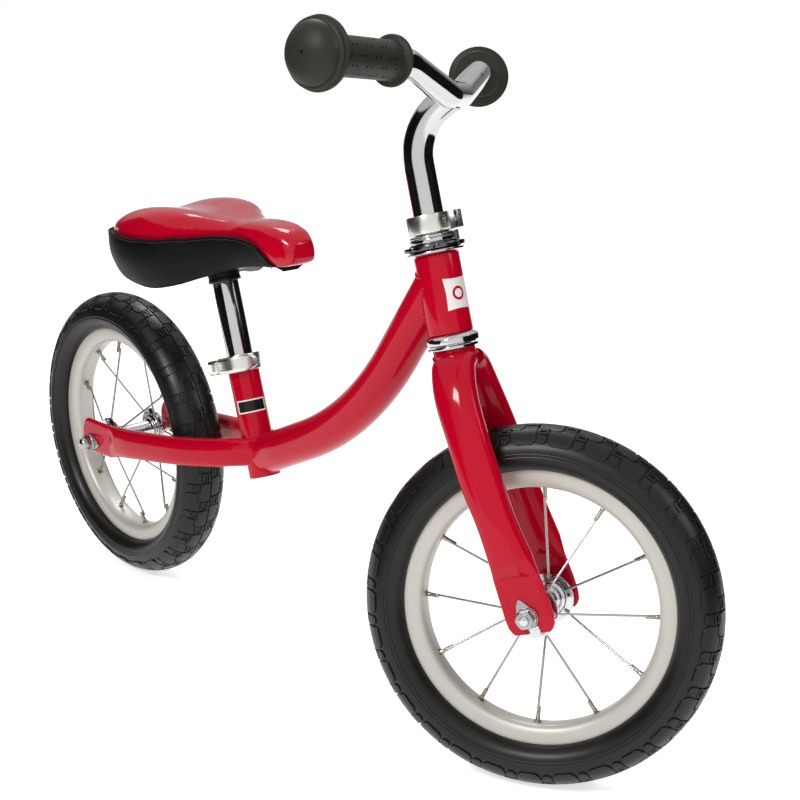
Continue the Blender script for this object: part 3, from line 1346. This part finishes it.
@dataclass
class Saddle:
    """Post, moulded base, black side cover with its seam, and the red padded top."""

    axes: Axes
    length: float = 0.268
    half: float = 0.071
    back: float = 0.132
    socket: float = 0.0155
    stitch_gap: float = 0.0034
    plate_share: float = 0.66
    plate_thick: float = 0.0022
    plate_end: float = 0.100
    voxel: float = 0.0040
    pressure: float = 4.0
    swell_cap: float = 0.0022
    tuck: float = 0.0055
    shape: tuple[tuple[float, ...], ...] = (
        (0.000, 0.36, 0.0130, 0.0270, 0.0300, 0.0290),
        (0.075, 0.78, -0.0020, 0.0295, 0.0390, 0.0300),
        (0.180, 0.96, -0.0140, 0.0315, 0.0510, 0.0315),
        (0.325, 1.00, -0.0160, 0.0330, 0.0580, 0.0330),
        (0.450, 0.88, -0.0090, 0.0375, 0.0590, 0.0365),
        (0.560, 0.64, 0.0020, 0.0425, 0.0560, 0.0405),
        (0.670, 0.45, 0.0130, 0.0470, 0.0550, 0.0445),
        (0.740, 0.39, 0.0182, 0.0500, 0.0578, 0.0455),
        (0.790, 0.368, 0.0209, 0.0506, 0.0592, 0.0445),
        (0.830, 0.352, 0.0225, 0.0496, 0.0598, 0.0405),
        (0.865, 0.342, 0.0238, 0.0482, 0.0600, 0.0345),
        (0.895, 0.325, 0.0246, 0.0455, 0.0596, 0.0275),
        (0.915, 0.310, 0.0254, 0.0425, 0.0588, 0.0254),
        (0.940, 0.29, 0.0265, 0.0390, 0.0570, 0.0265),
        (0.985, 0.20, 0.0300, 0.0350, 0.0490, 0.0300))

    def rows(self) -> list[list[float]]:
        """Stations along the saddle: place, half width, underside, widest, top, seam."""
        filled = smooth_rows(self.shape, 4)
        return [[a * self.length - self.back, w * self.half, low, wide, top, max(seam, low + 1e-4)]
                for a, w, low, wide, top, seam in filled]

    def outline(self, row: Sequence[float]) -> tuple[np.ndarray, np.ndarray]:
        """The right half of a section, from the top's middle down, parted at the seam."""
        _, wide, low, mid, top, seam = row
        rise, fall = top - mid, mid - low
        dip = 0.34 * rise * max(0.0, wide / self.half - 0.42)
        points = [(0.0, top - dip), (0.18 * wide, top - 0.9 * dip), (0.52 * wide, top),
                  (0.78 * wide, mid + 0.82 * rise), (0.93 * wide, mid + 0.42 * rise),
                  (0.985 * wide, mid), (wide, mid - 0.25 * fall), (0.975 * wide, mid - 0.55 * fall),
                  (0.88 * wide, low + 0.12 * fall), (0.76 * wide, low)]
        curve = np.array(smooth_rows(points, 8))
        ramp = np.maximum.accumulate(curve[5:, 1][::-1])[::-1]
        cut = 5 + int(np.argmin(np.abs(ramp - seam)))
        cut = min(max(cut, 8), len(curve) - 2)
        return self.resampled(curve[:cut + 1], 16), self.resampled(curve[cut:], 14)

    @staticmethod
    def resampled(curve: np.ndarray, count: int) -> np.ndarray:
        """The same curve with evenly spaced points."""
        run = np.concatenate([[0], np.cumsum(np.hypot(*np.diff(curve, axis=0).T))])
        at = np.linspace(0, run[-1], count)
        return np.column_stack([np.interp(at, run, curve[:, 0]), np.interp(at, run, curve[:, 1])])

    def both_sides(self, half: Sequence[Pair]) -> list[Pair]:
        """A half outline and its mirror image as one closed outline."""
        return [(y, z) for y, z in half] + [(-y, z) for y, z in reversed(half)]

    def loft(self, sections: Sequence[tuple[float, list[Pair]]]) -> bmesh.types.BMesh:
        """A closed skin through outlines at places along the saddle."""
        bm = bmesh.new()
        loops = [outline_loop(bm, [Vector((x, y, z)) for y, z in points]) for x, points in sections]
        bridged(bm, loops)
        bmesh.ops.recalc_face_normals(bm, faces=bm.faces)
        return placed(bm, self.axes.saddle)

    def pad(self) -> None:
        """The red top: remeshed, blown up a little as cloth, capped and subdivided."""
        sections = []
        for row in self.rows():
            upper, _ = self.outline(row)
            seam_y, seam_z = upper[-1]
            tuck = min(self.tuck, max(0.0, seam_z - row[2]) * 0.8)
            slack = min(1.0, tuck / self.tuck)
            body = []
            for y, z in upper[1:]:
                near = max(0.0, 1 - math.hypot(y - seam_y, z - seam_z) / 0.007)
                body.append((y - (0.0006 + 0.0022 * near * slack) * min(1.0, y / 0.01), z - 0.0007))
            body.append((body[-1][0] - 0.0012 * slack, seam_z - 0.0007 - tuck))
            sections.append((row[0], self.both_sides(body + [(seam_y * 0.4, body[-1][1])])))
        obj = piece("saddle_top_pad", self.loft(sections), RED_VINYL, "seat", ["saddle_pad"])
        remesh = obj.modifiers.new("even", "REMESH")
        remesh.mode, remesh.voxel_size = "VOXEL", self.voxel
        self.freeze(obj)
        self.blow_up(obj, cap=self.swell_cap)
        for _ in range(2):
            self.relax(obj, 0.35)
        finish = obj.modifiers.new("smooth", "SUBSURF")
        finish.levels = finish.render_levels = 1
        self.freeze(obj)
        for face in obj.data.polygons:
            face.use_smooth = True

    @staticmethod
    def freeze(obj: bpy.types.Object) -> None:
        """Makes what the modifiers show into the object's own mesh."""
        graph = bpy.context.evaluated_depsgraph_get()
        mesh = bpy.data.meshes.new_from_object(obj.evaluated_get(graph))
        old, obj.data = obj.data, mesh
        obj.modifiers.clear()
        bpy.data.meshes.remove(old)
        mesh.name = obj.name

    @staticmethod
    def relax(obj: bpy.types.Object, factor: float) -> None:
        """Smooths the mesh a little."""
        bm = bmesh.new()
        bm.from_mesh(obj.data)
        bmesh.ops.smooth_vert(bm, verts=bm.verts, factor=factor, use_axis_x=True, use_axis_y=True,
                              use_axis_z=True)
        bm.to_mesh(obj.data)
        bm.free()

    def blow_up(self, obj: bpy.types.Object, cap: float) -> None:
        """Inflates the pad as cloth; no point moves further than the cap."""
        before = np.array([v.co for v in obj.data.vertices])
        cloth = obj.modifiers.new("stuffing", "CLOTH")
        cloth.settings.use_pressure = True
        cloth.settings.uniform_pressure_force = self.pressure
        cloth.settings.effector_weights.gravity = 0.0
        cloth.settings.quality = 5
        scene = bpy.context.scene
        for frame in range(1, 21):
            scene.frame_set(frame)
        graph = bpy.context.evaluated_depsgraph_get()
        shown = obj.evaluated_get(graph).to_mesh()
        after = np.array([v.co for v in shown.vertices])
        obj.evaluated_get(graph).to_mesh_clear()
        obj.modifiers.clear()
        move = after - before
        size = np.linalg.norm(move, axis=1, keepdims=True)
        move *= np.minimum(1.0, cap / np.maximum(size, 1e-9))
        obj.data.vertices.foreach_set("co", (before + move).astype(np.float32).ravel())
        scene.frame_set(1)

    def side_cover(self) -> None:
        """The black grained cover that wraps the sides and tucks under the edge."""
        sections = []
        for row in self.rows():
            upper, lower = self.outline(row)
            if lower[0][1] - row[2] < 0.0012:
                continue
            inner = [(lower[0][0] * 0.40, lower[0][1] - 0.0070)]
            lip = [(0.68 * row[1], row[2] + 0.0016), (0.30 * row[1], row[2] + 0.0030)]
            skin = [(lower[0][0] - 0.0008, lower[0][1] - 0.0004)] + [tuple(p) for p in lower[1:]]
            sections.append((row[0], self.both_sides(inner + skin + lip)))
        bm = self.loft(sections)
        piece("saddle_side_skin", bm, BLACK_VINYL, "seat", ["saddle_side_cover"], math.radians(60))

    def seam_path(self, sign: int) -> list[Vector]:
        """Points along the seam on one side."""
        points = []
        for row in self.rows():
            upper, _ = self.outline(row)
            if row[5] - row[2] < 0.0008:
                continue
            y, z = upper[-1]
            points.append(Vector((row[0], sign * (y + 0.0001), z)))
        return [Vector(p) for p in smooth_rows([tuple(p) for p in points], 3)]

    def seam(self) -> None:
        """The piping along the seam and the stitches just under it."""
        pipes, threads = [], []
        for sign in (-1, 1):
            path = self.seam_path(sign)
            pipes.append(pipe([self.axes.saddle @ p for p in path], 0.0009, 0.0, 10,
                              Vector((0, 0.2, 1))))
            walked, due = 0.0, 0.004
            for a, b in zip(path, path[1:]):
                step = (b - a).length
                while walked + step > due:
                    spot = a.lerp(b, (due - walked) / step)
                    capsule = bmesh.new()
                    bmesh.ops.create_uvsphere(capsule, u_segments=8, v_segments=6, radius=1.0)
                    bmesh.ops.scale(capsule, vec=(0.0013, 0.00045, 0.00045), verts=capsule.verts)
                    down = Vector((0, sign * 0.0006, -0.0022))
                    run = (b - a).normalized()
                    turn = Vector((1, 0, 0)).rotation_difference(run).to_matrix().to_4x4()
                    threads.append(placed(capsule, self.axes.saddle
                                          @ Matrix.Translation(spot + down) @ turn))
                    due += self.stitch_gap
                walked += step
        piece("saddle_seam_piping", merged(pipes), BLACK_VINYL, "seat")
        piece("saddle_stitches", merged(threads), THREAD, "seat")

    def base(self) -> None:
        """The moulded base plate, its socket for the post and the bolt under the nose."""
        sections = []
        for row in self.rows():
            wide, low, fall = row[1], row[2], row[3] - row[2]
            high = low + 0.12 * fall
            edge = self.plate_share * wide
            outline = self.both_sides([(edge, high), (edge, high - self.plate_thick)])
            sections.append((row[0], outline))
        plate = self.loft([s for s in sections[1:] if s[0] < self.plate_end])
        upright = self.axes.saddle @ Matrix.Rotation(-SEAT_LEAN, 4, "Y")
        socket = lathe(softened([(0.0128, -0.0100), (self.socket, -0.0100), (self.socket, -0.0070),
                                 (self.socket - 0.0006, -0.0060), (self.socket, 0.0085),
                                 (0.0, 0.0085), (0.0, 0.0005), (0.0128, 0.0005)], 0.0006), 56)
        bolt = bmesh.new()
        bmesh.ops.create_uvsphere(bolt, u_segments=20, v_segments=12, radius=0.0036)
        bmesh.ops.scale(bolt, vec=(1, 1, 0.6), verts=bolt.verts)
        at = self.axes.saddle @ Matrix.Translation((0.075, 0, 0.0185))
        piece("saddle_base_moulding", merged([plate, placed(socket, upright), placed(bolt, at)]),
              BLACK_PLASTIC, "seat", ["saddle_base"])

    def post(self) -> None:
        """The chrome post."""
        profile = softened([(POST_RADIUS - 0.0015, 0.06), (POST_RADIUS, 0.06),
                            (POST_RADIUS, POST_TOP), (POST_RADIUS - 0.0015, POST_TOP)], 0.0006)
        piece("seat_post_tube", placed(lathe(profile, 80), self.axes.seat), CHROME, "seat",
              ["seat_post"])

    def build(self) -> None:
        """Builds the post and the saddle on it."""
        self.post()
        self.base()
        self.side_cover()
        self.pad()
        self.seam()


# ---------------------------------------------------------------- labels

@dataclass
class Labels:
    """Plain labels that follow the tubes, without lettering."""

    axes: Axes
    label_turn: float = math.radians(-30.0)

    def patch(self, radius: float, turn: float, low: float, high: float, half: float,
              flare: float = 0.0) -> bmesh.types.BMesh:
        """A thin patch bent round a tube.

        Args:
            radius: Radius of the patch's outside.
            turn: Angle of its middle round Z.
            low: Lower edge.
            high: Upper edge.
            half: Half its width, measured round the tube.
            flare: How much its corners are drawn out.

        Returns:
            The patch, with a little thickness.
        """
        bm = bmesh.new()
        bmesh.ops.create_grid(bm, x_segments=16, y_segments=10, size=1.0)
        for vert in bm.verts:
            x, y = vert.co.x, vert.co.y
            wide = half * x * (1 + flare * (y * y - 1))
            tall = (high - low) / 2 * y * (1 + flare * (x * x - 1))
            a = turn + wide / radius
            vert.co = (radius * math.cos(a), radius * math.sin(a), (low + high) / 2 + tall)
        bmesh.ops.recalc_face_normals(bm, faces=bm.faces)
        if sum((f.normal.dot(Vector((math.cos(turn), math.sin(turn), 0))) for f in bm.faces)) < 0:
            bmesh.ops.reverse_faces(bm, faces=bm.faces)
        bmesh.ops.solidify(bm, geom=bm.faces[:], thickness=0.00012)
        return bm

    def build(self) -> None:
        """Builds the head badge and the seat tube's label."""
        badge = self.patch(HEAD_RADIUS + 0.00018, 0.0, HEAD_LOW + 0.018, HEAD_LOW + 0.044,
                           0.0118, 0.07)
        piece("head_badge", placed(badge, self.axes.head), LABEL_WHITE, "frame")
        dot = lathe(softened([(0.0036, 0.0), (0.0036, 0.0003), (0.0056, 0.0003), (0.0056, 0.0)],
                             0.0001), 40)
        for vert in dot.verts:
            a = vert.co.x / (HEAD_RADIUS + 0.0002)
            radius = HEAD_RADIUS + 0.00022 + vert.co.z * 0.4
            vert.co = (radius * math.cos(a), radius * math.sin(a), HEAD_LOW + 0.031 + vert.co.y)
        piece("head_badge_ring", placed(dot, self.axes.head), RED_PAINT, "frame")
        turn = self.label_turn
        rim = self.patch(SEAT_TUBE_RADIUS + 0.00016, turn, 0.0795, 0.0920, 0.0150)
        piece("seat_tube_label_border", placed(rim, self.axes.seat), LABEL_WHITE, "frame")
        face = self.patch(SEAT_TUBE_RADIUS + 0.00024, turn, 0.0808, 0.0907, 0.0137)
        piece("seat_tube_label", placed(face, self.axes.seat), LABEL_BLACK, "frame")


# ---------------------------------------------------------------- studio

@dataclass
class Studio:
    """Floor, lights, surroundings and camera."""

    position: tuple[float, float, float] = (1.5777, -0.9241, 0.7372)
    yaw: float = math.radians(50.807)
    pitch: float = math.radians(-17.091)
    roll: float = math.radians(-0.397)
    lens: float = 81.44
    floor_size: float = 4.5
    floor_glow: float = 0.66
    ambient: float = 0.50
    centre: tuple[float, float, float] = (0.3, 0.0, 0.25)
    flag_gap: float = 1.05
    flag_long: float = 2.2
    flag_tall: float = 1.1
    wall_bands: tuple[Pair, ...] = (
        (-1.0, 0.55), (-0.80, 0.03), (0.50, 0.03), (0.72, 0.95), (1.0, 1.0))
    sky_bands: tuple[Pair, ...] = ((-1.0, 0.0), (0.12, 0.0), (0.28, 0.60), (0.70, 0.75), (1.0, 0.9))
    lamps: tuple[tuple[tuple[float, float, float], float, float], ...] = (
        ((0.9, -2.4, 2.4), 0.65, 50.0),
        ((2.6, 1.6, 2.0), 0.55, 26.0),
        ((-1.4, 1.2, 2.8), 1.0, 30.0))

    def floor(self) -> None:
        """A pale sheet under the bike."""
        bm = bmesh.new()
        bmesh.ops.create_grid(bm, x_segments=8, y_segments=8, size=self.floor_size)
        mesh = bpy.data.meshes.new("studio_floor")
        bm.to_mesh(mesh)
        bm.free()
        finish = Finish("floor_paper", "rim_silver", (0.80, 0.80, 0.80), (0.79, 0.79, 0.79),
                        (0.7, 0.8), mottle=2, relief=0.0, specular=0.0)
        paper = finish.build()
        shader = paper.node_tree.nodes["Principled BSDF"]
        shader.inputs["Emission Color"].default_value = (1.0, 1.0, 1.0, 1.0)
        shader.inputs["Emission Strength"].default_value = self.floor_glow
        mesh.materials.append(paper)
        obj = bpy.data.objects.new("studio_floor", mesh)
        bpy.context.scene.collection.objects.link(obj)

    def flags(self) -> None:
        """Two black boards that only reflections show, so that polished metal has dark edges."""
        right = Vector((math.cos(self.yaw), math.sin(self.yaw), 0))
        ahead = Vector((-math.sin(self.yaw), math.cos(self.yaw), 0))
        for side in Side:
            middle = Vector((self.centre[0], self.centre[1], self.flag_tall / 2))
            middle += right * (side.value * self.flag_gap)
            bm = block((-self.flag_long / 2, -0.005, -self.flag_tall / 2),
                       (self.flag_long / 2, 0.005, self.flag_tall / 2))
            turn = Vector((1, 0, 0)).rotation_difference(ahead).to_matrix().to_4x4()
            placed(bm, Matrix.Translation(middle) @ turn)
            mesh = bpy.data.meshes.new(f"flag_{side.name.lower()}")
            bm.to_mesh(mesh)
            bm.free()
            mesh.materials.append(NEAR_BLACK.build())
            obj = bpy.data.objects.new(mesh.name, mesh)
            bpy.context.scene.collection.objects.link(obj)
            obj.visible_camera = False
            obj.visible_shadow = False

    def lights(self) -> None:
        """Large soft area lamps aimed at the bike."""
        for index, (at, size, power) in enumerate(self.lamps):
            lamp = bpy.data.lights.new(f"softbox_{index}", "AREA")
            lamp.size, lamp.energy, lamp.shape = size, power, "SQUARE"
            obj = bpy.data.objects.new(lamp.name, lamp)
            bpy.context.scene.collection.objects.link(obj)
            obj.location = at
            aim = Vector(self.centre) - Vector(at)
            obj.rotation_euler = aim.to_track_quat("-Z", "Y").to_euler()

    @staticmethod
    def bands(nodes: bpy.types.Nodes, links: bpy.types.NodeLinks, source: bpy.types.NodeSocket,
              stops: Sequence[Pair]) -> bpy.types.NodeSocket:
        """Turns a value from -1 to 1 into brightness by (value, brightness) stops."""
        scale = nodes.new("ShaderNodeMapRange")
        scale.inputs["From Min"].default_value = -1.0
        ramp = nodes.new("ShaderNodeValToRGB")
        for _ in stops[2:]:
            ramp.color_ramp.elements.new(0.5)
        for element, (value, bright) in zip(ramp.color_ramp.elements, stops):
            element.position = (value + 1) / 2
            element.color = (bright, bright, bright, 1.0)
        links.new(source, scale.inputs["Value"])
        links.new(scale.outputs["Result"], ramp.inputs["Fac"])
        return ramp.outputs["Color"]

    def surroundings(self) -> None:
        """A bright room with darker walls that polished metal can mirror."""
        world = bpy.data.worlds.new("studio")
        world.use_nodes = True
        nodes, links = world.node_tree.nodes, world.node_tree.links
        back = nodes["Background"]
        place = nodes.new("ShaderNodeTexCoord")
        parts = nodes.new("ShaderNodeSeparateXYZ")
        links.new(place.outputs["Generated"], parts.inputs["Vector"])
        toward = nodes.new("ShaderNodeVectorMath")
        toward.operation = "DOT_PRODUCT"
        toward.inputs[1].default_value = (math.sin(self.yaw), -math.cos(self.yaw), 0.0)
        links.new(place.outputs["Generated"], toward.inputs[0])
        walls = self.bands(nodes, links, toward.outputs["Value"], self.wall_bands)
        sky = self.bands(nodes, links, parts.outputs["Z"], self.sky_bands)
        glossy = nodes.new("ShaderNodeMath")
        glossy.operation = "MAXIMUM"
        links.new(walls, glossy.inputs[0])
        links.new(sky, glossy.inputs[1])
        rays = nodes.new("ShaderNodeLightPath")
        plain = nodes.new("ShaderNodeMath")
        plain.operation = "MULTIPLY_ADD"
        plain.inputs[1].default_value = 1.0 - self.ambient
        plain.inputs[2].default_value = self.ambient
        links.new(rays.outputs["Is Camera Ray"], plain.inputs[0])
        chosen = nodes.new("ShaderNodeMix")
        links.new(rays.outputs["Is Glossy Ray"], chosen.inputs["Factor"])
        links.new(plain.outputs["Value"], chosen.inputs[2])
        links.new(glossy.outputs["Value"], chosen.inputs[3])
        links.new(chosen.outputs[0], back.inputs["Color"])
        back.inputs["Strength"].default_value = 1.0
        bpy.context.scene.world = world
        bpy.context.scene.view_settings.view_transform = "Standard"

    def camera(self) -> None:
        """The camera, from its place, its three angles and its lens."""
        ahead = Vector((-math.sin(self.yaw) * math.cos(self.pitch),
                        math.cos(self.yaw) * math.cos(self.pitch), math.sin(self.pitch)))
        right = Vector((math.cos(self.yaw), math.sin(self.yaw), 0))
        up = right.cross(ahead)
        turned_right = right * math.cos(self.roll) + up * math.sin(self.roll)
        turned_up = up * math.cos(self.roll) - right * math.sin(self.roll)
        matrix = Matrix((turned_right, turned_up, -ahead)).transposed().to_4x4()
        matrix.translation = Vector(self.position)
        data = bpy.data.cameras.new("camera")
        data.lens, data.sensor_width = self.lens, 36.0
        data.clip_start, data.clip_end = 0.05, 60.0
        obj = bpy.data.objects.new("camera", data)
        bpy.context.scene.collection.objects.link(obj)
        obj.matrix_world = matrix
        bpy.context.scene.camera = obj

    def build(self) -> None:
        """Sets the studio up."""
        self.floor()
        self.flags()
        self.lights()
        self.surroundings()
        self.camera()


@dataclass
class HiddenNodes:
    """CAD nodes that stay as they are and only take a better finish."""

    finishes: dict[str, Finish] = field(default_factory=lambda: {
        "fork_steerer": STEEL, "lower_head_bearing": STEEL, "upper_head_bearing": STEEL,
        "seat_collar_skewer": STEEL})

    def dress(self, nodes: dict[str, bpy.types.Object]) -> None:
        """Gives every node that is still shown its finish."""
        for name, node in sorted(nodes.items()):
            if node.hide_render:
                continue
            finish = self.finishes.get(name, STEEL)
            node.data.materials.clear()
            node.data.materials.append(finish.build())
            LOG.info("%s keeps its own shape in %s", name, finish.name)


def main() -> None:
    """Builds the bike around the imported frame."""
    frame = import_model()
    axes = Axes.at_rest()
    front = Wheel("front", axes.front, "front_wheel", math.radians(1.5), math.radians(127.5))
    rear = Wheel("rear", axes.rear, "rear_wheel", math.radians(40.0), math.radians(-5.0))
    tab = math.radians(107.0)
    parts: list[Callable[[], None]] = [
        Studio().build, front.build, rear.build,
        AxleEnds("front", axes.steer @ Matrix.Translation((FORK_OFFSET, 0, 0)), "fork", 0.080,
                 0.0085, NutStyle.OPEN_HEX, tab).build,
        AxleEnds("rear", axes.rear, "frame", 0.090, 0.0120, NutStyle.ACORN, 0.0).build,
        Frame(axes).build, Fork(axes).build, Handlebar(axes).build, SeatClamp(axes).build,
        Saddle(axes).build, Labels(axes).build]
    for build in parts:
        build()
    HiddenNodes().dress(frame["nodes"])


if __name__ == "__main__":
    logging.basicConfig(level=logging.INFO, format="%(name)s: %(message)s")
    main()
